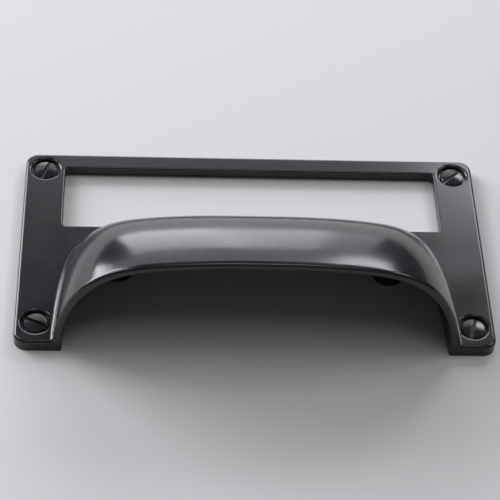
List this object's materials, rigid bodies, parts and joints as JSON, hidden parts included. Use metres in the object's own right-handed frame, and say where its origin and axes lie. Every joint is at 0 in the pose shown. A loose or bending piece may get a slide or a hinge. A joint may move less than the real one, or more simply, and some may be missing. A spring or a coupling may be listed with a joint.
{
  "type": "label frame pull",
  "caption": "One-piece cast cup pull for a drawer with a label window above the cup and ornamental slotted heads in the corners, coated black.",
  "frame": {"origin": "middle of the plate's flat back face, which is the drawer front's surface", "axes": "+X along the width, +Y up the plate from the cup's mouth to the label window, +Z out of the drawer front"},
  "size_m": [0.11, 0.06, 0.03],
  "materials": {
    "black_coat": "semi_gloss"
  },
  "bodies": {
    "root": {"pull_casting": "black_coat"}
  },
  "joints": []
}
